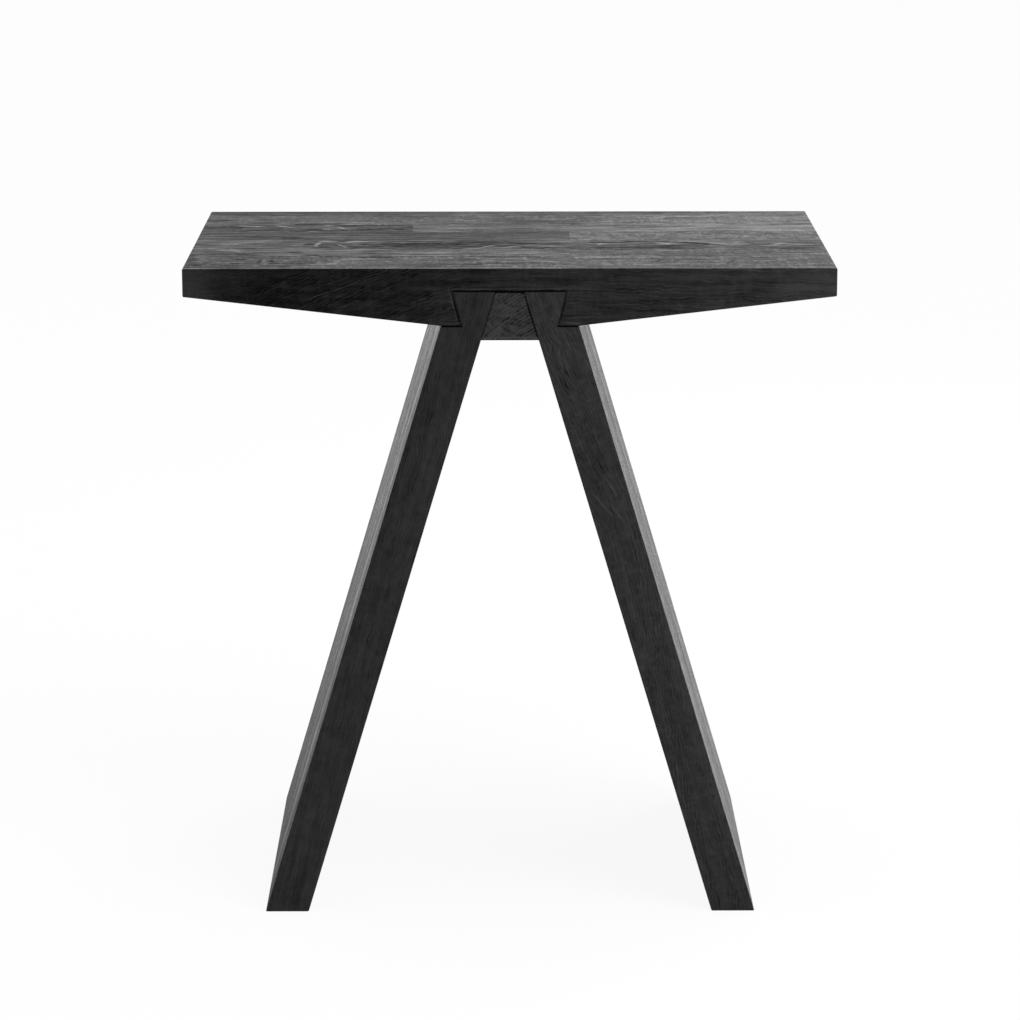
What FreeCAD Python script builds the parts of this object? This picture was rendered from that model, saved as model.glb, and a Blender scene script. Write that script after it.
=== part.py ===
import FreeCAD, Part
import math
import os

# Stool of blackened oak: a tapered seat panel on two splayed leg panels.
# The legs' tails sit in one dovetail housing under the seat, and a full-depth wedge between them
# is drawn up by three bolts, so that it spreads the tails against the housing's undercut sides.
# Millimetres. +X is the sitter's left to right width, the front faces -Y and +Z is up.
# The origin is on the floor, under the centre of the seat.

# Seat panel
seat_height = 450.0
seat_width = 436.0
seat_depth = 260.0
seat_end_thickness = 19.0
roof_thickness = 15.3
housing_depth = 23.4
flank_angle = 14.0

# Leg panels: the lean is from upright, and the crown is the gap between the tails at the ceiling.
# The tails' ends and the shoulders stay clear of the seat, so that only the undercut sides bear.
leg_thickness = 28.45
leg_lean = 16.66
crown_width = 18.8
tail_gap = 0.5
shoulder_width = 14.0
shoulder_gap = 0.9

# Wedge between the legs
wedge_gap = 1.2
wedge_proud = 10.0
wedge_chamfer = 2.0

# Chamfer that eases every outer arris, and the least turn of an outline that has one, in degrees
arris_chamfer = 0.6
least_arris_turn = 20.0

# Socket head bolts with a hexagon socket
bolt_diameter = 6.0
bolt_head_diameter = 10.0
bolt_head_height = 6.0
bolt_chamfer = 0.5
bolt_tip_short = 1.0
key_width = 5.0
key_depth = 3.0
head_sink = 1.4
hole_clearance = 0.5

# Washers under the bolt heads
washer_diameter = 12.0
washer_thickness = 1.6
washer_clearance = 0.2
counterbore_clearance = 1.0

# Threaded inserts in the ceiling of the housing
insert_diameter = 10.0
insert_length = 10.0
insert_chamfer = 0.4
insert_spare_depth = 0.5
fit_clearance = 0.05

# Cuts pass their faces by this much
overrun = 5.0

# Seat staves, from the front row to the rear row: each row's share of the depth
seat_row_shares = (0.205, 0.120, 0.140, 0.160, 0.125, 0.165, 0.085)

# Butt joints inside three of the rows. Two lie beyond the right corner of the housing
# by a named distance, and one lies at a share of the width from the left end.
row_2_joint_offset = 3.2
row_4_joint_offset = 4.9
row_5_joint_share = 0.344

# Leg staves, from the front to the rear: each stave's share of the depth
left_leg_stave_shares = (0.16, 0.14, 0.14, 0.14, 0.15, 0.14, 0.13)
right_leg_stave_shares = (0.20, 0.14, 0.13, 0.15, 0.14, 0.13, 0.11)

# Bolts along the depth: each one's share from the front
bolt_place_shares = (0.17, 0.50, 0.83)

# Levels and half widths that follow from the sizes above
lean_slope = math.tan(math.radians(leg_lean))
flank_slope = math.tan(math.radians(flank_angle))
front = -seat_depth / 2
ceiling_level = seat_height - roof_thickness
underside_level = ceiling_level - housing_depth
shoulder_level = underside_level - shoulder_gap
tail_level = ceiling_level - tail_gap
wedge_top_level = ceiling_level - wedge_gap
wedge_bottom_level = underside_level - wedge_proud
leg_width_level = leg_thickness / math.cos(math.radians(leg_lean))


def inner_face(level):
    """Distance of a leg's inner face from the middle of the stool at a level."""
    return crown_width / 2 + lean_slope * (ceiling_level - level)


def outer_face(level):
    """Distance of a leg's outer face from the middle of the stool at a level."""
    return inner_face(level) + leg_width_level


def flank(level):
    """Distance of the housing's undercut side from the middle of the stool at a level."""
    mouth = outer_face(underside_level) - shoulder_width
    return mouth + flank_slope * (level - underside_level)


def mirrored(points):
    """The same outline on the other side of the middle, still counter-clockwise."""
    return [(-x, z) for x, z in reversed(points)]


def prism(outline):
    """A full-depth solid with the given outline, seen from the front."""
    corners = [FreeCAD.Vector(x, front, z) for x, z in outline]
    face = Part.Face(Part.makePolygon(corners + corners[:1]))
    return face.extrude(FreeCAD.Vector(0, seat_depth, 0))


def arris_corners(outline):
    """Corners of a counter-clockwise outline that stand out sharply enough to be eased."""
    found = []
    for index, (x, z) in enumerate(outline):
        before_x, before_z = outline[index - 1]
        after_x, after_z = outline[(index + 1) % len(outline)]
        heading_in = math.atan2(z - before_z, x - before_x)
        heading_out = math.atan2(after_z - z, after_x - x)
        turn = math.degrees(heading_out - heading_in + math.pi) % 360 - 180
        if turn > least_arris_turn:
            found.append((x, z))
    return found


def runs_along(edge, corner):
    """True if an edge runs from front to rear through a corner of the outline."""
    first, last = edge.Vertexes[0].Point, edge.Vertexes[-1].Point
    return all(math.hypot(p.x - corner[0], p.z - corner[1]) < fit_clearance for p in (first, last))


def lies_across(edge):
    """True if an edge lies in the front face or in the rear face."""
    levels = [vertex.Point.y for vertex in edge.Vertexes]
    return max(levels) - min(levels) < fit_clearance


def eased(solid, outline):
    """The solid with the arrises of its outline and of its front and rear faces eased."""
    corners = arris_corners(outline)
    edges = [edge for edge in solid.Edges
             if lies_across(edge) or any(runs_along(edge, corner) for corner in corners)]
    return solid.makeChamfer(arris_chamfer, edges)


def rod(diameter, low, high, place):
    """An upright cylinder between two levels on the bolt line, at a place along the depth."""
    return Part.makeCylinder(diameter / 2, high - low, FreeCAD.Vector(0, place, low))


def bolt_places():
    """Places of the bolts along the depth."""
    return [front + share * seat_depth for share in bolt_place_shares]


def seat_panel():
    """The whole seat before it is divided into its staves."""
    land = outer_face(underside_level)
    right_half = [(flank(ceiling_level), ceiling_level), (flank(underside_level), underside_level),
                  (land, underside_level), (seat_width / 2, seat_height - seat_end_thickness),
                  (seat_width / 2, seat_height)]
    outline = right_half + mirrored(right_half)
    panel = eased(prism(outline), outline)
    hole_diameter = insert_diameter + 2 * fit_clearance
    hole_top = ceiling_level + insert_length + insert_spare_depth
    for place in bolt_places():
        panel = panel.cut(rod(hole_diameter, ceiling_level - overrun, hole_top, place))
    return panel


def leg_panel(side):
    """A leg before it is divided into its staves: side is 1 for the right leg and -1 for the left."""
    outline = [(inner_face(0), 0), (outer_face(0), 0),
               (outer_face(shoulder_level), shoulder_level), (flank(shoulder_level), shoulder_level),
               (flank(tail_level), tail_level), (inner_face(tail_level), tail_level)]
    if side < 0:
        outline = mirrored(outline)
    return eased(prism(outline), outline)


def divided(shares):
    """Start and end of each piece along the depth. The outer two pass the panel's faces."""
    ends = [front + seat_depth * sum(shares[:count]) for count in range(len(shares) + 1)]
    ends[0] -= overrun
    ends[-1] = seat_depth / 2 + overrun
    return list(zip(ends[:-1], ends[1:]))


def slab(left, right, near, far):
    """A block over the full height that takes one stave out of a panel."""
    height = seat_height + 2 * overrun
    return Part.makeBox(right - left, far - near, height, FreeCAD.Vector(left, near, -overrun))


def one_solid(shape):
    """The single solid that a cut leaves."""
    return shape.removeSplitter().Solids[0]


def seat_staves():
    """The staves of the seat: rows 2, 4 and 5 have two staves each, butted end to end."""
    panel = seat_panel()
    end = seat_width / 2 + overrun
    corner = flank(ceiling_level)
    joints = {2: corner + row_2_joint_offset,
              4: corner + row_4_joint_offset,
              5: seat_width * (row_5_joint_share - 1 / 2)}
    staves = {}
    for row, (near, far) in enumerate(divided(seat_row_shares), start=1):
        name = f"seat_stave_{row}"
        if row in joints:
            staves[name + "_left"] = one_solid(panel.common(slab(-end, joints[row], near, far)))
            staves[name + "_right"] = one_solid(panel.common(slab(joints[row], end, near, far)))
        else:
            staves[name] = one_solid(panel.common(slab(-end, end, near, far)))
    return staves


def leg_staves(side_name, side, shares):
    """The staves of one leg, each as long as the leg."""
    panel = leg_panel(side)
    reach = outer_face(0) + overrun
    staves = {}
    for number, (near, far) in enumerate(divided(shares), start=1):
        stave = panel.common(slab(-reach, reach, near, far))
        staves[f"{side_name}_leg_stave_{number}"] = one_solid(stave)
    return staves


def counterbore_level():
    """Level of the counterbores' floors in the wedge, where the washers bear."""
    return wedge_bottom_level + head_sink + bolt_head_height + washer_thickness


def wedge():
    """The wedge, with its lower front and rear edges chamfered and its bolt holes counterbored."""
    outline = [(-inner_face(wedge_bottom_level), wedge_bottom_level),
               (inner_face(wedge_bottom_level), wedge_bottom_level),
               (inner_face(wedge_top_level), wedge_top_level),
               (-inner_face(wedge_top_level), wedge_top_level)]
    body = prism(outline)
    lower_edges = [edge for edge in body.Edges
                   if lies_across(edge) and edge.BoundBox.ZMax < wedge_bottom_level + fit_clearance]
    body = body.makeChamfer(wedge_chamfer, lower_edges)
    side_edges = [edge for edge in body.Edges if edge.BoundBox.ZMax > wedge_top_level - fit_clearance]
    body = body.makeChamfer(arris_chamfer, side_edges)
    for place in bolt_places():
        shank_hole = bolt_diameter + 2 * hole_clearance
        head_hole = washer_diameter + 2 * counterbore_clearance
        body = body.cut(rod(shank_hole, wedge_bottom_level, wedge_top_level + overrun, place))
        body = body.cut(rod(head_hole, wedge_bottom_level - overrun, counterbore_level(), place))
    return body


def revolved(half_outline, place):
    """A round piece on the bolt line, from its outline as radii and levels."""
    corners = [FreeCAD.Vector(radius, place, level) for radius, level in half_outline]
    face = Part.Face(Part.makePolygon(corners + corners[:1]))
    return face.revolve(FreeCAD.Vector(0, place, 0), FreeCAD.Vector(0, 0, 1), 360)


def hexagon_prism(width, low, high, place):
    """An upright hexagonal prism on the bolt line, given by its width across flats."""
    radius = width / math.sqrt(3)
    angles = [math.radians(60 * turn) for turn in range(7)]
    corners = [FreeCAD.Vector(radius * math.cos(a), place + radius * math.sin(a), low) for a in angles]
    return Part.Face(Part.makePolygon(corners)).extrude(FreeCAD.Vector(0, 0, high - low))


def bolt(place):
    """One bolt: the head hangs below the washer and the shank stands in the insert."""
    seat_level = counterbore_level() - washer_thickness
    head_level = seat_level - bolt_head_height
    tip_level = ceiling_level + insert_length - bolt_tip_short
    head_radius = bolt_head_diameter / 2
    radius = bolt_diameter / 2
    half_outline = [(0, head_level), (head_radius - bolt_chamfer, head_level),
                    (head_radius, head_level + bolt_chamfer), (head_radius, seat_level),
                    (radius, seat_level), (radius, tip_level - bolt_chamfer),
                    (radius - bolt_chamfer, tip_level), (0, tip_level)]
    socket = hexagon_prism(key_width, head_level - overrun, head_level + key_depth, place)
    return revolved(half_outline, place).cut(socket)


def washer(place):
    """One flat washer against the floor of its counterbore."""
    bore = bolt_diameter / 2 + washer_clearance
    low = counterbore_level() - washer_thickness
    high = counterbore_level()
    half_outline = [(bore, low), (washer_diameter / 2, low), (washer_diameter / 2, high), (bore, high)]
    return revolved(half_outline, place)


def insert(place):
    """One threaded insert, flush with the ceiling, its bore at the bolt's diameter."""
    bore = bolt_diameter / 2 + fit_clearance
    radius = insert_diameter / 2
    top = ceiling_level + insert_length
    half_outline = [(bore + insert_chamfer, ceiling_level), (radius, ceiling_level),
                    (radius, top - insert_chamfer), (radius - insert_chamfer, top),
                    (bore, top), (bore, ceiling_level + insert_chamfer)]
    return revolved(half_outline, place)


def pieces():
    """Every piece of the stool by name. Like fasteners are one group of separate solids."""
    found = {}
    found.update(seat_staves())
    found.update(leg_staves("left", -1, left_leg_stave_shares))
    found.update(leg_staves("right", 1, right_leg_stave_shares))
    found["leg_wedge"] = wedge()
    found["wedge_bolts"] = Part.makeCompound([bolt(place) for place in bolt_places()])
    found["bolt_washers"] = Part.makeCompound([washer(place) for place in bolt_places()])
    found["threaded_inserts"] = Part.makeCompound([insert(place) for place in bolt_places()])
    return found


os.makedirs("parts", exist_ok=True)
for name, shape in pieces().items():
    shape.exportStep(f"parts/{name}.step")
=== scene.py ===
import math
import random

import bpy
from mathutils import Matrix, Vector

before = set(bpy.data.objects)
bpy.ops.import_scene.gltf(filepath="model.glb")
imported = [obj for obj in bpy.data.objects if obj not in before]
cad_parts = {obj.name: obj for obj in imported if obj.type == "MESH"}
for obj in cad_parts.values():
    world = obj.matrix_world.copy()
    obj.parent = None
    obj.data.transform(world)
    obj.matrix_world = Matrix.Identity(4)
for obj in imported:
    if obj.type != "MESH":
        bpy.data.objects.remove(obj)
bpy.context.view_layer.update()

# Camera: place in metres, turns in degrees, lens and sensor in millimetres, and how far it sees in metres
camera_place = (-0.010, -2.526, 0.842)
camera_pitch = 13.08
camera_yaw = -0.24
camera_roll = 0.03
camera_lens = 128.65
sensor_width = 36.0
camera_reach = 100.0

# Room: half the floor's side in metres, its colour, and the share of white in what the camera sees of it
floor_half_side = 15.0
floor_colour = (0.92, 0.92, 0.92, 1.0)
floor_white_share = 0.91
white = (1.0, 1.0, 1.0, 1.0)
world_strength = 0.82

# Lamps: place and size in metres and power in watts, all turned towards the middle of the stool
lamps = {
    "key": dict(place=(1.6, -1.6, 2.6), size=(1.6, 1.6), power=45.0),
    "rear": dict(place=(1.1, 1.2, 0.9), size=(0.6, 0.6), power=6.0),
}
lamps_aim = (0.0, 0.0, 0.3)

# The frame is in metres. The figure on its pieces is in millimetres, apart from the depths of the relief.
millimetres_in_metre = 1000.0
metres_in_millimetre = 0.001

# Legs lean by this many degrees from upright
leg_lean = 16.66

# Metals: colour where dull and where bright, and roughness where bright and where dull. Then the size of a
# stain, the scratches in a millimetre, and the strength of the relief and its depth in metres.
metals = {
    "black_steel": dict(dull=(0.020, 0.020, 0.022), bright=(0.085, 0.085, 0.090),
                        least_roughness=0.32, most_roughness=0.58),
    "brass": dict(dull=(0.42, 0.27, 0.10), bright=(0.80, 0.58, 0.28),
                  least_roughness=0.24, most_roughness=0.48),
}
metal_of = {"wedge_bolts": "black_steel", "bolt_washers": "black_steel", "threaded_inserts": "brass"}
stain_size = (2.5, 2.5, 2.5)
scratches_in_millimetre = (1.5, 1.5, 12.0)
metal_relief = 0.5
metal_relief_depth = 0.0001

# Oak surface: index of refraction, strength of its relief and depth of that in metres, then roughness, shine
# and colour of its dullest and of its shiniest spots
oak_ior = 1.22
oak_relief = 0.6
oak_relief_depth = 0.001
dull_roughness = 0.70
shiny_roughness = 0.14
dull_shine = 0.20
shiny_shine = 0.80
dull_colour = (0.0010, 0.0010, 0.0010)
shiny_colour = (0.0250, 0.0250, 0.0264)

# Tone of the oak without its figure, how much lighter each part of the figure makes it, and how much darker
# a pore does
middle_tone = 0.50
ring_line_light = 0.30
early_wood_light = 0.08
middle_wood_light = 0.02
late_wood_light = -0.22
band_light = 0.70
fleck_light = 0.11
between_flecks_light = -0.03
fine_fleck_light = 0.42
curl_light = 0.055
ray_light = 0.5
long_streak_light = 0.70
short_streak_light = 0.60
pore_darkness = 0.22

# Sizes of the figure's features along the grain, across it and up. Bands are measured along the grain and
# from ring to ring, and rays along the grain, round the pith and away from it.
broad_wave_size = (150.0, 40.0, 40.0)
fine_wave_size = (26.0, 7.0, 7.0)
rough_wave_size = (9.0, 30.0, 5.0)
line_break_size = (11.0, 3.5, 3.5)
band_size = (70.0, 4.0, None)
pore_size = (13.0, 1.1, 1.1)
fleck_size = (3.4, 14.0, 8.0)
fine_fleck_size = (3.2, 9.0, 5.0)
curl_size = (10.0, 22.0, 12.0)
ray_size = (9.0, 1.3, 16.0)
long_streak_size = (60.0, 5.0, 5.0)
short_streak_size = (20.0, 2.2, 2.2)

# Waves of the rings, from trough to crest: broad ones at a waviness of 1, fine ones, and the rough ones that
# only a front face has. Flecks sway so many times as far as the fine waves do.
broad_wave_height = 2.0
fine_wave_height = 2.4
rough_wave_height = 4.0
fleck_sway = 2.0

# Rings rise along the grain in a curve that is this round at its crown
crown_roundness = 30.0

# Shares of a year between which its ring line fades, its early wood fades and its late wood comes, and how
# strong the lines of the faintest and of the strongest year are
ring_line_fade = (0.03, 0.20)
early_wood_fade = (0.12, 0.5)
late_wood_rise = (0.3, 1.0)
year_strengths = (0.3, 1.2)

# Lines are broken where their noise is under the first value, and whole and this strong over the second
line_break_noise = (0.36, 0.64)
whole_line_strength = 1.75

# A pore fades between these distances from its middle, in steps of its size. Late wood has this share of it.
pore_fade = (0.12, 0.34)
late_pores = 0.35

# Flecks come where their noise goes from the first value to the second. Curls are the sine of their noise,
# times so many radians.
fleck_noise = (0.54, 0.66)
curls_in_noise = 34.0

# Relief of the oak: how deep its pores and its worn early wood are, and how far its lines and streaks rise
pore_depth = -0.12
worn_depth = -0.012
figure_height = 0.05

# How strong the figure is where the stain is dullest and shiniest, and how much stronger all of it and its
# ring lines are on a front face
dull_contrast = 0.45
shiny_contrast = 1.55
front_contrast = 1.35
front_line_contrast = 1.4

# Distances behind the front between which its figure, its tone and its strokes end
front_figure_depth = (1.0, 8.0)
front_tone_depth = (0.4, 1.2)
front_strokes_depth = (1.8, 2.4)

# How far the noises move from one seed to the next, and the values that most of a noise lies between
seed_step = (113.7, 71.3, 39.1)
usual_noise = (0.3, 0.7)

# How a stave is cut. The pith is so far across and up from its middle. The rings rise by the slope for each
# millimetre of grain away from where they crown. On the front face they also rise along the grain, and bow
# away from the crown. Then come the width of a ring and the waviness, the shares of ring lines, bands,
# streaks, ray flecks, those on the front face and rays, the tone and its change over a metre of grain, the
# same two for the front face alone, and the seed of the noises.
usual_cut = dict(pith_across=-150, pith_up=20, slope=0.01, crown=-900, front_slope=0, front_bow=0,
                 ring_width=3.0, wave=4, lines=1.0, bands=1.0, streaks=1.0, flecks=0.4, front_flecks=0.3,
                 rays=0.4, tone=0, drift=0, front_tone=0, front_drift=0, seed=0)
cuts = {
    # Stave 1: its front tone and front drift make the front face darker at the left and lighter at the right,
    # painted light as if from the right
    "seat_stave_1": dict(pith_across=10, pith_up=-150, slope=0, crown=-40, front_slope=-0.21, front_bow=0.25,
                         ring_width=2.2, lines=0.5, bands=0.5, streaks=0.7, flecks=0.75, front_flecks=0.5,
                         tone=0.02, drift=0.25, front_tone=-0.21, front_drift=1.0),
    "seat_stave_2_left": dict(pith_across=-160, slope=0.03, wave=5, flecks=0.3, tone=0.02, drift=0.4),
    "seat_stave_2_right": dict(pith_across=-140, pith_up=40, slope=0.012, lines=0.7, bands=0.6, streaks=0.7,
                               flecks=0.65, tone=0.03, drift=0.2),
    "seat_stave_3": dict(pith_across=2, pith_up=-8, slope=0.055, crown=-62, ring_width=2.3, wave=2,
                         flecks=0.2, drift=0.2),
    "seat_stave_4_left": dict(pith_up=-50, slope=0.006, wave=5, flecks=0.2, tone=-0.08, drift=0.1),
    "seat_stave_4_right": dict(pith_across=170, pith_up=0, wave=3, lines=0.3, bands=0.4, streaks=0.5,
                               flecks=0.65, rays=0.8, tone=0.10),
    "seat_stave_5_left": dict(pith_across=4, pith_up=-14, slope=0.05, crown=-240, ring_width=2.4, flecks=0.4,
                              tone=-0.13, drift=0.2),
    "seat_stave_5_right": dict(pith_across=-120, pith_up=-40, slope=-0.025, wave=6, flecks=0.3, tone=0.08,
                               drift=0.8),
    "seat_stave_6": dict(pith_across=20, pith_up=-150, slope=-0.02, wave=6, lines=0.4, bands=0.4, streaks=0.4,
                         flecks=0.6, tone=0.04, drift=0.4),
    "seat_stave_7": dict(slope=0.004, flecks=0.3, tone=-0.06, drift=0.6),
    "left_leg_stave_1": dict(pith_across=0, pith_up=150, slope=-0.02, front_slope=0.10, ring_width=1.8,
                             lines=0.3, bands=0.25, streaks=0.36, flecks=0.5, rays=0.5, tone=0.0,
                             front_tone=0.08, front_drift=-0.85),
    "right_leg_stave_1": dict(pith_across=0, pith_up=130, slope=0.02, crown=60, front_slope=0.02,
                              front_bow=0.10, ring_width=2.2, wave=6, lines=0.4, bands=0.25, streaks=0.34,
                              flecks=0.4, front_flecks=0.6, rays=0.5, tone=0.10),
    "leg_wedge": dict(pith_across=-49, pith_up=-70, ring_width=2.2, wave=2, lines=1.6, bands=0.6, streaks=0.8,
                      flecks=1.7, rays=0.8, tone=0.27),
}

# The other staves are cut at random from this seed: the distances of the pith, to either side, and then the
# limits of the other numbers, in the order in which they are drawn
other_cuts_seed = 41
other_pith = dict(pith_across=(60, 170), pith_up=(0, 130))
other_limits = dict(slope=(-0.03, 0.03), ring_width=(2.2, 4.0), wave=(3, 6), lines=(0.6, 1.1),
                    bands=(0.6, 1.1), streaks=(0.6, 1.0), flecks=(0.2, 0.7), rays=(0.3, 0.8),
                    tone=(-0.02, 0.12))

# All staves of a leg have one change of tone over a metre of grain, and their tones move by one amount
leg_drifts = {"left_leg": 0.75, "right_leg": 0.05}
leg_tone_changes = {"left_leg": -0.07, "right_leg": 0.03}

# Strokes of figure, and of painted highlights and painted shade, on the tops and on the front faces of some
# staves: the middle along the face and across it, half the length and half the width, the turn in degrees,
# the bend per millimetre, and how much lighter it is. A stroke fades between these shares of its half length
# and half width.
stroke_inputs = ("Middle Along", "Middle Across", "Half Length", "Half Width", "Turn", "Bend", "Light")
stroke_fade = (0.3, 1.05)

# A stroke at least as wide as a wash is smooth. The others waver by so many millimetres on a top and on a
# front, have stronger and weaker patches, and are torn by the grain.
least_wash_width = 20.0
waver_size = (12.0, 12.0, None)
top_waver = 5.0
front_waver = 1.6
patch_size = (8.0, 4.0, None)
patch_strengths = (0.5, 1.5)
tear_size = (16.0, 0.9, None)
top_torn = 0.95
front_torn = 0.45


def stroke(along, across, half_length, half_width, light, turn=0, bend=0):
    """A stroke that lies along the face, and is straight unless it is turned or bent."""
    return dict(zip(stroke_inputs, (along, across, half_length, half_width, turn, bend, light)))


def wash(along, half_length, light, half_width=70):
    """A smooth change of tone over the whole width of a stave."""
    return stroke(along, 0, half_length, half_width, light)


top_strokes = {
    "seat_stave_1": [
        # Darker left end, and a painted highlight along the front arris
        wash(-215, 110, -0.11, half_width=90),
        stroke(0, -24.3, 330, 2.2, 0.12),
        # Dark marks
        stroke(-93, 22, 18, 3.0, -0.5, turn=-2),
        stroke(-120, 24.3, 14, 2.6, -0.4),
        stroke(-183, 13, 7, 3.0, -0.45, turn=-15),
        stroke(-184, -4, 5, 3.0, -0.4, turn=20),
        # Small curls
        stroke(-168, 6, 9, 1.3, -0.35, turn=80, bend=0.02),
        stroke(-160, 6, 9, 1.3, -0.35, turn=-80, bend=0.02),
        stroke(28, 2, 8, 1.4, 0.25, turn=-40),
        stroke(100, 6, 10, 1.5, -0.3, turn=75, bend=0.02),
        stroke(150, 4, 9, 1.4, -0.25, turn=60, bend=0.03),
    ],
    "seat_stave_2_left": [
        # Pale and dark lines beside the heart of stave 3
        stroke(-8, 13.5, 22, 3.2, 0.31),
        stroke(20, 4.5, 90, 2.6, -0.12, turn=-1),
        stroke(42, -0.5, 70, 3.0, 0.17, turn=-1),
        stroke(-2, -4.5, 32, 2.8, -0.45, turn=-1.5),
        stroke(38, -9.5, 22, 2.6, -0.22, turn=-2),
        stroke(30, -13.5, 60, 2.4, 0.16),
        stroke(115, 12.5, 15, 2.6, -0.25),
        # Dark marks and pale patches to the left
        stroke(-57, -2, 9, 2.8, -0.4, turn=-25),
        stroke(-46, -11, 9, 3.4, -0.5, turn=-5),
        stroke(-89, -11, 12, 3.0, -0.45, turn=-12),
        stroke(-97, 5, 7, 2.2, 0.21, turn=-50),
        stroke(-103, 11, 16, 4.5, 0.28),
    ],
    "seat_stave_2_right": [
        # Dark lines beside the heart of stave 3
        stroke(-40, 13, 50, 2.6, -0.22),
        stroke(68, 13, 20, 2.6, -0.36),
    ],
    "seat_stave_3": [
        # Paler left end and darker middle
        wash(-215, 60, 0.1),
        wash(-20, 40, -0.08),
        # Pale curls round the left end of the heart
        stroke(-133, 2, 14, 2.2, 0.38, turn=82, bend=-0.01),
        stroke(-125, 15, 10, 4.4, 0.41, turn=-8),
        stroke(-108, 14, 15, 4.6, 0.43, turn=22, bend=-0.018),
        stroke(-94, 15.5, 11, 4.0, 0.18),
        stroke(-115, -6, 12, 2.2, 0.4, turn=-65),
        # Dark heart, and the dark line in front of it
        stroke(-128, -9, 8, 4.0, -0.35, turn=5),
        stroke(-72, -1, 62, 18.0, -0.24),
        stroke(-22, 6, 46, 14.0, -0.26, turn=-4),
        stroke(-60, -10, 62, 3.2, -0.34),
        stroke(-70, 8, 51, 3.0, -0.12, turn=-1),
        stroke(-30, 6, 34, 3.0, -0.18, turn=-4),
        stroke(-68, 14.3, 30, 2.8, -0.42),
        stroke(-60, -16.4, 46, 2.8, -0.42),
        stroke(-187, -16.4, 32, 3.0, -0.46),
        # Pale curls in the middle
        stroke(-25, -16, 8, 3.0, 0.4, turn=8),
        stroke(-14, -7, 12, 2.4, 0.43, turn=52),
        stroke(-1, 2.5, 11, 3.0, 0.4, turn=14),
        stroke(2.5, -9.5, 9, 3.0, 0.48, bend=-0.13),
        # Dark lines of the heart to the right
        stroke(20, 4, 34, 3.2, -0.5, bend=0.002),
        stroke(74, 11, 39, 3.2, -0.5, turn=5, bend=-0.001),
        stroke(128, 6, 28, 3.2, -0.5, turn=-22),
        stroke(24, -15, 34, 3.2, -0.52, turn=-3),
        stroke(88, -12, 55, 3.4, -0.5, bend=0.0005),
        stroke(112, -7, 30, 3.2, -0.42, turn=-8),
        stroke(28, -1, 16, 4.0, -0.28),
        stroke(85, -17.2, 62, 2.6, -0.3),
        stroke(189, 0, 10, 3.2, -0.42),
        stroke(103, 3, 11, 2.8, -0.22, turn=-6),
        # Pale wood between them
        stroke(-4, -13, 9, 2.2, 0.25),
        stroke(-41, 3.5, 12, 3.6, 0.24),
        stroke(32, -7, 14, 2.8, 0.12, turn=3),
        stroke(69, 2, 11, 2.8, 0.12, turn=24),
        stroke(106, 5, 17, 2.8, 0.12, turn=-5),
        # Dark line and small curls at the right end
        stroke(197, -16, 25, 3.2, -0.25),
        stroke(148, 6, 8, 1.4, 0.25, turn=62, bend=0.03),
        stroke(158, 9, 8, 1.4, 0.24, turn=62, bend=-0.03),
        stroke(168, 4, 8, 1.4, -0.3, turn=-55, bend=0.03),
    ],
    "seat_stave_4_left": [
        # Darker middle and dark marks
        wash(0, 110, -0.08),
        stroke(-64, -7, 12, 3.0, -0.38, turn=-5),
        stroke(-95, 0, 36, 2.8, -0.25, turn=-2),
    ],
    "seat_stave_5_left": [
        # Pale and dark marks in the middle
        stroke(17, 13, 9, 3.4, 0.28, turn=14),
        stroke(23.5, 2, 9, 1.9, 0.34, turn=-60),
        stroke(28, 9.8, 13, 3.2, -0.5),
        stroke(58, -4, 18, 3.2, -0.5),
        stroke(40, -6, 9, 4.0, -0.3),
        stroke(3, -6, 10, 3.0, -0.55, turn=-5),
        stroke(15, -4, 6, 3.6, 0.28),
        # The same to the left
        stroke(-43, 11, 12, 2.8, 0.37, turn=-22),
        stroke(-35, 9, 7, 3.2, 0.18, turn=10),
        stroke(-19, 11.5, 11, 4.0, 0.2, turn=-12),
        stroke(-47, 4, 12, 2.5, -0.58, turn=-16),
        stroke(-59, 8, 10, 2.5, -0.52, turn=-4),
        stroke(-15, 6, 11, 2.4, 0.31, turn=-34),
    ],
    "seat_stave_5_right": [
        # Paler right end, pale lines and a dark one
        wash(130, 60, 0.12),
        stroke(-110, -3, 38, 4.5, 0.18),
        stroke(36, -4, 52, 3.0, 0.21, turn=14),
        stroke(20, 2, 20, 2.4, -0.26, turn=8),
    ],
    "seat_stave_6": [
        # Darker middle and paler ends
        wash(22, 45, -0.12),
        wash(155, 70, 0.09),
        wash(-175, 80, 0.06),
        # Dark marks beside stave 5
        stroke(-175, -13, 14, 2.5, -0.72, turn=3),
        stroke(-147, -19, 12, 3.4, -0.8, turn=-8),
        stroke(-206, -1, 15, 2.6, -0.5, turn=6),
        stroke(-128, -17.5, 14, 2.8, -0.52),
        # Pale lines beside stave 5
        stroke(-112, -19.5, 12, 2.6, 0.28),
        stroke(190, -19.5, 25, 2.8, 0.22),
    ],
}
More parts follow.
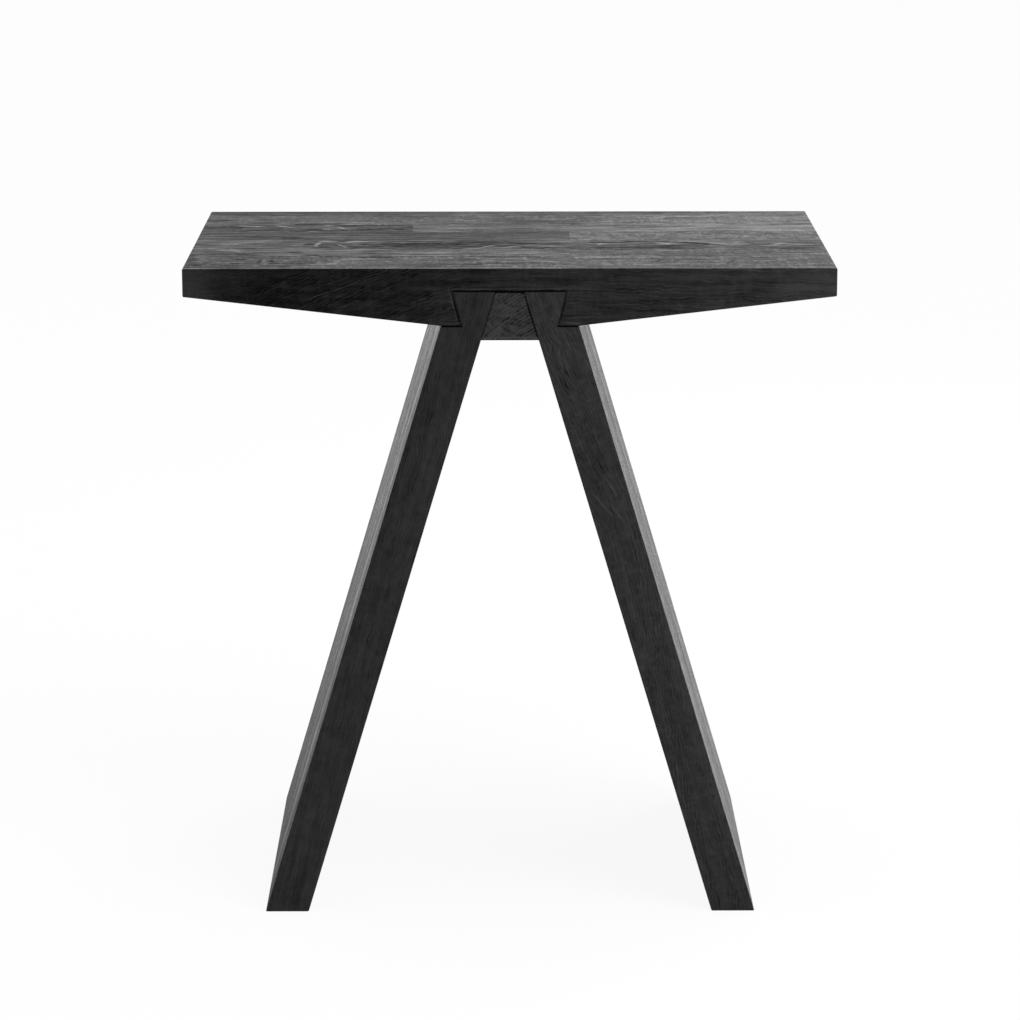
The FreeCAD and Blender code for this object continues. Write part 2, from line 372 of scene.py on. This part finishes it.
front_strokes = {
    "seat_stave_1": [
        # Paler ends
        wash(-172, 36, 0.06, half_width=90),
        wash(-217, 62, 0.22, half_width=90),
        wash(213, 50, 0.2, half_width=90),
        wash(-224, 34, 0.42, half_width=90),
        stroke(-197, -9, 34, 9.0, 0.2),
        # Paler wood round the joint
        stroke(-45, -4, 18, 18.0, 0.1),
        stroke(46, -12, 18, 12.0, 0.12),
        stroke(0, 12, 34, 5.0, 0.08),
        # Painted highlights along the arrises of the housing
        stroke(-20, 5.5, 27, 0.7, 0.4),
        stroke(19, 5.5, 27, 0.7, 0.34),
        stroke(-37.8, -6, 16, 0.7, 0.3, turn=-75),
        stroke(36.6, -6, 16, 0.7, 0.4, turn=75),
        stroke(-41, -17.5, 12, 0.7, 0.4),
        stroke(40, -17.5, 12, 0.7, 0.4),
        # Painted shade in the gaps along the joint
        stroke(-36.0, -7.6, 15, 0.6, -0.9, turn=-76),
        stroke(36.0, -7.6, 15, 0.6, -0.9, turn=76),
        stroke(-24, 4.5, 18, 0.5, -0.8),
        stroke(24, 4.5, 18, 0.5, -0.8),
        # Pale lines that rise to the right
        stroke(-154, 8, 13, 0.6, 0.25, turn=30),
        stroke(-121, 3.5, 28, 0.6, 0.28, turn=19, bend=-0.0006),
        stroke(-118, 10, 16, 0.6, 0.25, turn=18),
        stroke(-108, -5, 12, 0.7, 0.28, turn=23),
    ],
    "left_leg_stave_1": [
        # Paler inner side and darker outer side
        stroke(105, -11, 75, 9.0, 0.1),
        stroke(70, 14, 150, 6.0, -0.09),
    ],
    "right_leg_stave_1": [
        # Paler outer side and darker middle
        stroke(-95, -13, 140, 7.0, 0.13),
        stroke(110, 3, 40, 7.0, -0.09, turn=-4),
        # Veins at mid height
        stroke(75.3, 4.6, 14, 1.0, 0.48, turn=24),
        stroke(86, -4.2, 10, 1.0, 0.48, turn=14),
        stroke(67, -3, 11, 1.0, 0.36, turn=20),
        stroke(101, -1, 8, 2.0, -0.2, turn=10),
        # Curls below the tail
        stroke(176.8, 4.4, 4.5, 0.9, 0.6, turn=13),
        stroke(175.4, 1.2, 5, 0.9, 0.55, turn=5),
        stroke(172.3, -12.5, 5, 0.9, 0.45, turn=7),
        stroke(171.4, 2.7, 5, 0.9, -0.5, turn=13),
        stroke(169, 4.8, 7, 0.6, 0.25, turn=10),
        stroke(164, 6.4, 8, 2.6, -0.25, turn=5),
        stroke(153, 4, 3, 2.0, 0.22, turn=40),
        stroke(192.7, 2, 4, 1.6, 0.36, turn=30),
        stroke(185, 3.5, 4, 1.0, 0.36, turn=-30),
        stroke(196, -6, 5, 0.8, 0.4, turn=25),
        stroke(188, -4, 6, 0.8, 0.4, turn=20),
        stroke(181, -8, 5, 0.8, 0.35, turn=25),
        stroke(190, 8, 5, 0.8, 0.35, turn=-20),
        stroke(200, 4, 5, 0.8, 0.35, turn=10),
    ],
    "leg_wedge": [
        # Painted highlight and painted shade along the lower edge, and painted shade in the gap at the right
        # edge
        stroke(0, -14.0, 60, 0.9, 0.6),
        stroke(0, -16.0, 60, 1.2, -0.6),
        stroke(-14.1, 0, 22, 0.7, -0.9, turn=73.3),
    ],
}


class Graph:
    """Adds nodes to a tree. An input is a number, a tuple or another node's output."""

    def __init__(self, tree):
        self.tree = tree

    def add(self, kind, inputs=None, output=0, **settings):
        node = self.tree.nodes.new(kind)
        for name, value in settings.items():
            setattr(node, name, value)
        for slot, value in (inputs or {}).items():
            if isinstance(value, bpy.types.NodeSocket):
                self.tree.links.new(value, node.inputs[slot])
            else:
                node.inputs[slot].default_value = value
        return node.outputs[output] if node.outputs else None

    def math(self, operation, *values, clamp=False):
        return self.add("ShaderNodeMath", dict(enumerate(values)), operation=operation, use_clamp=clamp)

    def vector(self, operation, *values):
        return self.add("ShaderNodeVectorMath", dict(enumerate(values)), operation=operation)

    def join(self, x, y, z):
        return self.add("ShaderNodeCombineXYZ", {0: x, 1: y, 2: z})

    def split(self, vector):
        node = self.tree.nodes.new("ShaderNodeSeparateXYZ")
        self.tree.links.new(vector, node.inputs[0])
        return node.outputs

    def length(self, x, y, z=0.0):
        return self.add("ShaderNodeVectorMath", {0: self.join(x, y, z)}, output="Value", operation="LENGTH")

    def shrunk(self, place, size):
        """The place counted in steps of this size. An axis with no size is left out."""
        return self.vector("MULTIPLY", place, tuple(1.0 / step if step else 0.0 for step in size))

    def noise(self, place, detail=2.0, roughness=0.5):
        """Noise from 0 to 1 with features about one step in size."""
        return self.add("ShaderNodeTexNoise", {"Vector": place, "Scale": 1.0, "Detail": detail,
                        "Roughness": roughness})

    def step(self, value, low, high, from_value=0.0, to_value=1.0):
        """A smooth change from one value to another while the input goes from low to high."""
        return self.add("ShaderNodeMapRange", {"Value": value, "From Min": low, "From Max": high,
                        "To Min": from_value, "To Max": to_value}, interpolation_type="SMOOTHSTEP")

    def fade(self, value, low, high):
        """A smooth change from 1 to 0 while the input goes from low to high."""
        return self.step(value, low, high, 1.0, 0.0)

    def ramp(self, value, low, high, from_value=0.0, to_value=1.0):
        """A straight change from one value to another while the input goes from low to high."""
        return self.add("ShaderNodeMapRange", {"Value": value, "From Min": low, "From Max": high,
                        "To Min": from_value, "To Max": to_value})

    def blend(self, share, none, all_of_it):
        """A straight change from one value to another while a share goes from 0 to 1."""
        return self.ramp(share, 0.0, 1.0, none, all_of_it)


def new_material(name):
    material = bpy.data.materials.new(name)
    material.use_nodes = True
    material.node_tree.nodes.clear()
    return material, Graph(material.node_tree)


def finish_material(graph, shader):
    graph.add("ShaderNodeOutputMaterial", {"Surface": shader})


def new_group(group_name, inputs, outputs):
    """A group of nodes that takes a place and these numbers: its graph and what it is given."""
    tree = bpy.data.node_groups.new(group_name, "ShaderNodeTree")
    tree.interface.new_socket("Vector", in_out="INPUT", socket_type="NodeSocketVector")
    for name in inputs:
        tree.interface.new_socket(name, in_out="INPUT", socket_type="NodeSocketFloat")
    for name in outputs:
        tree.interface.new_socket(name, in_out="OUTPUT", socket_type="NodeSocketFloat")
    return Graph(tree), tree.nodes.new("NodeGroupInput").outputs


def finish_group(graph, results):
    graph.add("NodeGroupOutput", results)
    return graph.tree


def use_group(graph, group, place, values):
    node = graph.tree.nodes.new("ShaderNodeGroup")
    node.node_tree = group
    graph.tree.links.new(place, node.inputs["Vector"])
    for name, value in values.items():
        node.inputs[name].default_value = value
    return node


def shows_background(graph):
    """One for the rays that show the background itself: camera, glossy and transmission rays."""
    node = graph.tree.nodes.new("ShaderNodeLightPath")
    glossy = graph.math("MAXIMUM", node.outputs["Is Camera Ray"], node.outputs["Is Glossy Ray"])
    return graph.math("MAXIMUM", glossy, node.outputs["Is Transmission Ray"])


def make_camera():
    data = bpy.data.cameras.new("camera")
    data.lens = camera_lens
    data.sensor_width = sensor_width
    data.clip_end = camera_reach
    camera = bpy.data.objects.new("camera", data)
    bpy.context.scene.collection.objects.link(camera)
    pitch, yaw, roll = (math.radians(turn) for turn in (camera_pitch, camera_yaw, camera_roll))
    forward = Vector((-math.sin(yaw) * math.cos(pitch), math.cos(yaw) * math.cos(pitch), -math.sin(pitch)))
    level_right = Vector((math.cos(yaw), math.sin(yaw), 0.0))
    level_up = level_right.cross(forward)
    right = math.cos(roll) * level_right - math.sin(roll) * level_up
    up = math.sin(roll) * level_right + math.cos(roll) * level_up
    turned = Matrix((right, up, -forward)).transposed().to_4x4()
    camera.matrix_world = Matrix.Translation(camera_place) @ turned
    bpy.context.scene.camera = camera


def make_world():
    world = bpy.data.worlds.new("studio")
    bpy.context.scene.world = world
    world.use_nodes = True
    world.node_tree.nodes.clear()
    graph = Graph(world.node_tree)
    strength = graph.blend(shows_background(graph), world_strength, 1.0)
    background = graph.add("ShaderNodeBackground", {"Color": white, "Strength": strength})
    graph.add("ShaderNodeOutputWorld", {"Surface": background})


def make_floor():
    bpy.ops.mesh.primitive_plane_add(size=2 * floor_half_side)
    floor = bpy.context.object
    floor.name = "floor"
    material, graph = new_material("floor")
    plain = graph.add("ShaderNodeBsdfDiffuse", {"Color": floor_colour})
    bright = graph.add("ShaderNodeEmission", {"Color": white, "Strength": 1.0})
    share = graph.math("MULTIPLY", shows_background(graph), floor_white_share)
    finish_material(graph, graph.add("ShaderNodeMixShader", {0: share, 1: plain, 2: bright}))
    floor.data.materials.append(material)


def make_lamp(name, place, size, power):
    data = bpy.data.lights.new(name, "AREA")
    data.shape = "RECTANGLE"
    data.size, data.size_y = size
    data.energy = power
    lamp = bpy.data.objects.new(name, data)
    bpy.context.scene.collection.objects.link(lamp)
    aim = Vector(lamps_aim) - Vector(place)
    lamp.matrix_world = Matrix.Translation(place) @ aim.to_track_quat("-Z", "Y").to_matrix().to_4x4()


def socket_name(key):
    return key.replace("_", " ").title()


def make_oak_group():
    """Oak with its grain along the first axis, in millimetres: its tone, and the height of its relief."""
    inputs = ("Front", "Figure And Painted Light", *(socket_name(key) for key in usual_cut))
    graph, given = new_group("oak", inputs, ("Tone", "Height"))
    place = given["Vector"]
    along, across, up = graph.split(place)
    shift = graph.add("ShaderNodeVectorMath", {0: seed_step, "Scale": given["Seed"]}, operation="SCALE")
    drifted = graph.vector("ADD", place, shift)

    def centred(size, detail, amount):
        """Noise about zero, with features of this size along, across and up."""
        value = graph.noise(graph.shrunk(drifted, size), detail=detail)
        return graph.math("MULTIPLY", graph.math("SUBTRACT", value, 0.5), amount)

    # Distance from the pith, with the rise of the rings along the grain and their waves
    pith_across = graph.math("SUBTRACT", across, given["Pith Across"])
    pith_up = graph.math("SUBTRACT", up, given["Pith Up"])
    radius = graph.length(0.0, pith_across, pith_up)
    front = graph.fade(graph.math("SUBTRACT", across, given["Front"]), *front_figure_depth)
    from_crown = graph.length(graph.math("SUBTRACT", along, given["Crown"]), crown_roundness)
    front_curve = graph.math("MULTIPLY", along, given["Front Slope"])
    front_curve = graph.math("MULTIPLY_ADD", from_crown, given["Front Bow"], front_curve)
    front_curve = graph.math("MULTIPLY", front_curve, front)
    curve = graph.math("MULTIPLY_ADD", from_crown, given["Slope"], front_curve)
    broad = centred(broad_wave_size, detail=1.0, amount=broad_wave_height)
    broad = graph.math("MULTIPLY", broad, given["Wave"])
    fine = centred(fine_wave_size, detail=2.0, amount=fine_wave_height)
    rough = graph.math("MULTIPLY", centred(rough_wave_size, detail=1.0, amount=rough_wave_height), front)
    depth = graph.math("ADD", graph.math("ADD", radius, curve), graph.math("ADD", broad, fine))
    depth = graph.math("ADD", depth, rough)
    ring = graph.math("DIVIDE", depth, given["Ring Width"])
    phase = graph.math("FRACT", ring)
    year_number = graph.math("ADD", graph.math("FLOOR", ring), given["Seed"])
    year = graph.add("ShaderNodeTexWhiteNoise", {"W": year_number}, noise_dimensions="1D")

    # Ring line at the start of each year, early wood after it, darker late wood towards the end. The lines
    # differ from year to year and break up along the grain.
    edge = graph.fade(phase, *ring_line_fade)
    early = graph.fade(phase, *early_wood_fade)
    edge_light = graph.math("MULTIPLY", edge, ring_line_light)
    lines = graph.math("ADD", edge_light, graph.math("MULTIPLY", early, early_wood_light))
    lines = graph.math("ADD", lines, graph.ramp(phase, *late_wood_rise, middle_wood_light, late_wood_light))
    lines = graph.math("MULTIPLY", lines, graph.blend(year, *year_strengths))
    broken = graph.noise(graph.shrunk(drifted, line_break_size), detail=3.0, roughness=0.75)
    broken = graph.ramp(broken, *line_break_noise, 0.0, whole_line_strength)
    lines = graph.math("MULTIPLY", lines, graph.blend(front, 1.0, front_line_contrast))
    lines = graph.math("MULTIPLY", graph.math("MULTIPLY", lines, broken), given["Lines"])

    # Bands of several years that are lighter or darker
    band_place = graph.shrunk(graph.join(along, depth, 0.0), band_size)
    bands = graph.noise(graph.vector("ADD", band_place, shift), detail=2.0, roughness=0.6)
    bands = graph.math("MULTIPLY", graph.math("SUBTRACT", bands, 0.5), band_light)
    bands = graph.math("MULTIPLY", bands, given["Bands"])

    # Pores: thin pits along the grain, most of them in the early wood
    cells = graph.add("ShaderNodeTexVoronoi", {"Vector": graph.shrunk(drifted, pore_size), "Scale": 1.0,
                      "Randomness": 1.0}, feature="F1")
    pores = graph.fade(cells, *pore_fade)
    pores = graph.math("MULTIPLY", pores, graph.blend(early, late_pores, 1.0))

    # Rays: short flecks that are wide across the grain, curls of them, and thin sheets that run out from the
    # pith. A front face has no curls.
    swayed = graph.vector("ADD", drifted, graph.join(graph.math("MULTIPLY", fine, fleck_sway), 0.0, 0.0))
    flecks = graph.noise(graph.shrunk(swayed, fleck_size), detail=2.0)
    flecks = graph.step(flecks, *fleck_noise, between_flecks_light, fleck_light)
    flecks = graph.math("ADD", flecks, centred(fine_fleck_size, detail=2.0, amount=fine_fleck_light))
    curls = graph.noise(graph.shrunk(drifted, curl_size), detail=0.0)
    curls = graph.math("SINE", graph.math("MULTIPLY", curls, curls_in_noise))
    curls = graph.math("MULTIPLY", curls, curl_light)
    curls = graph.math("MULTIPLY", curls, graph.blend(front, 1.0, 0.0))
    shown = graph.blend(front, given["Flecks"], given["Front Flecks"])
    flecks = graph.math("MULTIPLY", graph.math("ADD", flecks, curls), shown)
    pith_distance = graph.length(given["Pith Across"], given["Pith Up"])
    round_pith = graph.math("MULTIPLY", graph.math("ARCTAN2", pith_up, pith_across), pith_distance)
    sheets = graph.shrunk(graph.join(along, round_pith, radius), ray_size)
    sheets = graph.math("SUBTRACT", graph.noise(graph.vector("ADD", sheets, shift), detail=1.0), 0.5)
    flecks = graph.math("MULTIPLY_ADD", graph.math("MULTIPLY", sheets, ray_light), given["Rays"], flecks)

    # Stain: long and short streaks along the grain
    streaks = graph.math("ADD", centred(long_streak_size, detail=3.0, amount=long_streak_light),
                         centred(short_streak_size, detail=2.0, amount=short_streak_light))
    streaks = graph.math("MULTIPLY", streaks, given["Streaks"])

    # Tone, with its change along the grain and that of the front face alone
    drift = graph.math("MULTIPLY", given["Drift"], metres_in_millimetre)
    tone = graph.math("MULTIPLY_ADD", along, drift, given["Tone"])
    front_drift = graph.math("MULTIPLY", given["Front Drift"], metres_in_millimetre)
    front_tone = graph.math("MULTIPLY_ADD", along, front_drift, given["Front Tone"])
    face = graph.fade(graph.math("SUBTRACT", across, given["Front"]), *front_tone_depth)
    tone = graph.math("ADD", graph.math("MULTIPLY_ADD", front_tone, face, tone), middle_tone)

    # The figure shows less where the stain is darker, and more on a front face
    contrast = graph.math("MULTIPLY", graph.blend(tone, dull_contrast, shiny_contrast),
                          graph.blend(front, 1.0, front_contrast))
    figure = graph.math("ADD", graph.math("ADD", lines, bands), graph.math("ADD", streaks, flecks))
    tone = graph.math("MULTIPLY_ADD", figure, contrast, graph.math("ADD", tone, given["Figure And Painted Light"]))
    tone = graph.math("SUBTRACT", tone, graph.math("MULTIPLY", pores, pore_darkness), clamp=True)
    worn = graph.math("MULTIPLY", graph.math("MULTIPLY", early, broken), worn_depth)
    height = graph.math("MULTIPLY_ADD", pores, pore_depth, worn)
    raised = graph.math("MULTIPLY", graph.math("ADD", lines, streaks), figure_height)
    return finish_group(graph, {"Tone": tone, "Height": graph.math("ADD", height, raised)})


def make_stroke_group():
    """One stroke, for the figure and also for painted highlights and painted shade: how much lighter it makes
    a place, which is given in millimetres.
    """
    graph, given = new_group("stroke", stroke_inputs, ("Light",))
    middle = graph.join(given["Middle Along"], given["Middle Across"], 0.0)
    from_middle = graph.vector("SUBTRACT", given["Vector"], middle)
    turn_back = graph.math("MULTIPLY", given["Turn"], math.radians(-1))
    turned = graph.add("ShaderNodeVectorRotate", {"Vector": from_middle, "Angle": turn_back},
                       rotation_type="Z_AXIS")
    along, across, _ = graph.split(turned)
    bent = graph.math("MULTIPLY", graph.math("MULTIPLY", along, along), given["Bend"])
    off = graph.math("ABSOLUTE", graph.math("SUBTRACT", across, bent))
    off = graph.math("DIVIDE", off, given["Half Width"])
    far = graph.math("DIVIDE", graph.math("ABSOLUTE", along), given["Half Length"])
    inside = graph.fade(graph.length(off, far), *stroke_fade)
    return finish_group(graph, {"Light": graph.math("MULTIPLY", inside, given["Light"])})


oak_group = make_oak_group()
stroke_group = make_stroke_group()


def draw_strokes(graph, place, strokes, waver, torn):
    """How much lighter the strokes on a plane make a place."""
    ripple = graph.math("SUBTRACT", graph.noise(graph.shrunk(place, waver_size)), 0.5)
    moved = graph.vector("ADD", place, graph.join(0.0, graph.math("MULTIPLY", ripple, waver), 0.0))
    figure = washes = 0.0
    for inputs in strokes:
        light = use_group(graph, stroke_group, moved, inputs).outputs["Light"]
        # Narrow strokes hold both figure and painted highlights and painted shade
        if inputs["Half Width"] < least_wash_width:
            figure = graph.math("ADD", light, figure)
        else:
            washes = graph.math("ADD", light, washes)
    uneven = graph.ramp(graph.noise(graph.shrunk(place, patch_size)), *usual_noise, *patch_strengths)
    grain = graph.ramp(graph.noise(graph.shrunk(place, tear_size)), *usual_noise, 1.0 - torn, 1.0 + torn)
    return graph.math("MULTIPLY_ADD", figure, graph.math("MULTIPLY", uneven, grain), washes)


def draw_figure_and_painted_light(graph, name, place, front):
    """How much lighter the strokes of a stave, its figure and its painted highlights and shade, make a place,
    or 0 where it has none.
    """
    figure = 0.0
    if name in top_strokes:
        figure = draw_strokes(graph, place, top_strokes[name], top_waver, top_torn)
    if name in front_strokes:
        # The grain of the wedge runs inward from its front, and that of the staves along theirs
        along, across, up = graph.split(place)
        inward, level = (along, across) if name == "leg_wedge" else (across, along)
        face = graph.fade(graph.math("SUBTRACT", inward, front), *front_strokes_depth)
        on_plane = graph.join(level, up, 0.0)
        on_front = draw_strokes(graph, on_plane, front_strokes[name], front_waver, front_torn)
        figure = graph.math("MULTIPLY_ADD", on_front, face, figure)
    return figure


def make_oak(name, box, turns, cut):
    """Black stained oak for one stave, with the turns that lay the first axis along the grain."""
    low, high = box
    middle = (low + high) / 2
    front = millimetres_in_metre * (low.y - middle.y)
    material, graph = new_material(name)
    place = graph.add("ShaderNodeTexCoord", output="Object")
    rotation = tuple(math.radians(turn) for turn in turns)
    place = graph.add("ShaderNodeMapping", {"Vector": place, "Location": middle, "Rotation": rotation,
                      "Scale": (metres_in_millimetre,) * 3}, vector_type="TEXTURE")
    numbers = {socket_name(key): value for key, value in {**usual_cut, **cut}.items()}
    node = use_group(graph, oak_group, place, {**numbers, "Front": front})
    figure = draw_figure_and_painted_light(graph, name, place, front)
    if isinstance(figure, bpy.types.NodeSocket):
        graph.tree.links.new(figure, node.inputs["Figure And Painted Light"])
    tone = node.outputs["Tone"]
    change = tuple(shiny - dull for dull, shiny in zip(dull_colour, shiny_colour))
    colour = graph.vector("MULTIPLY_ADD", tone, change, dull_colour)
    roughness = graph.blend(tone, dull_roughness, shiny_roughness)
    shine = graph.blend(tone, dull_shine, shiny_shine)
    normal = graph.add("ShaderNodeBump", {"Height": node.outputs["Height"], "Distance": oak_relief_depth,
                       "Strength": oak_relief})
    shader = graph.add("ShaderNodeBsdfPrincipled", {"Base Color": colour, "Roughness": roughness,
                       "Normal": normal, "Specular IOR Level": shine, "IOR": oak_ior})
    finish_material(graph, shader)
    return material


def make_metal(name, dull, bright, least_roughness, most_roughness):
    """Turned metal with a stained, lightly scratched surface."""
    material, graph = new_material(name)
    place = graph.add("ShaderNodeTexCoord", output="Object")
    place = graph.vector("MULTIPLY", place, (millimetres_in_metre,) * 3)
    stain = graph.noise(graph.shrunk(place, stain_size), detail=4.0, roughness=0.6)
    scratches = graph.vector("MULTIPLY", place, scratches_in_millimetre)
    scratches = graph.noise(scratches, detail=3.0, roughness=0.7)
    wear = graph.math("MULTIPLY", graph.math("ADD", stain, scratches), 0.5)
    change = tuple(most - least for least, most in zip(dull, bright))
    colour = graph.vector("MULTIPLY_ADD", wear, change, dull)
    roughness = graph.ramp(wear, *usual_noise, most_roughness, least_roughness)
    normal = graph.add("ShaderNodeBump", {"Height": wear, "Distance": metal_relief_depth,
                       "Strength": metal_relief})
    shader = graph.add("ShaderNodeBsdfPrincipled", {"Base Color": colour, "Metallic": 1.0,
                       "Roughness": roughness, "Normal": normal})
    finish_material(graph, shader)
    return material


def other_cut(draw):
    """A cut for a stave whose front does not show."""
    cut = {key: draw.choice((-1, 1)) * draw.uniform(*distances) for key, distances in other_pith.items()}
    cut.update({key: draw.uniform(*limits) for key, limits in other_limits.items()})
    return cut


def grain_turns(name):
    """Turns in degrees from the first axis to the grain."""
    if name.startswith("left_leg"):
        return (0.0, leg_lean - 90.0, 0.0)
    if name.startswith("right_leg"):
        return (0.0, -leg_lean - 90.0, 0.0)
    if name == "leg_wedge":
        return (0.0, 0.0, 90.0)
    return (0.0, 0.0, 0.0)


def box_of(node):
    """Lowest and highest corner of a node in metres."""
    corners = [corner[:] for corner in node.bound_box]
    return Vector(map(min, *corners)), Vector(map(max, *corners))


make_camera()
make_world()
make_floor()
for name, lamp in lamps.items():
    make_lamp(name, **lamp)

metal_materials = {name: make_metal(name, **look) for name, look in metals.items()}
draw = random.Random(other_cuts_seed)
for number, (name, node) in enumerate(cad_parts.items()):
    if name in metal_of:
        material = metal_materials[metal_of[name]]
    else:
        cut = {"seed": number, **(cuts.get(name) or other_cut(draw))}
        leg = name.rsplit("_stave_", 1)[0]
        if leg in leg_drifts:
            cut.update(drift=leg_drifts[leg], tone=cut["tone"] + leg_tone_changes[leg])
        material = make_oak(name, box_of(node), grain_turns(name), cut)
    node.data.materials.clear()
    node.data.materials.append(material)

bpy.context.scene.view_settings.view_transform = "Standard"
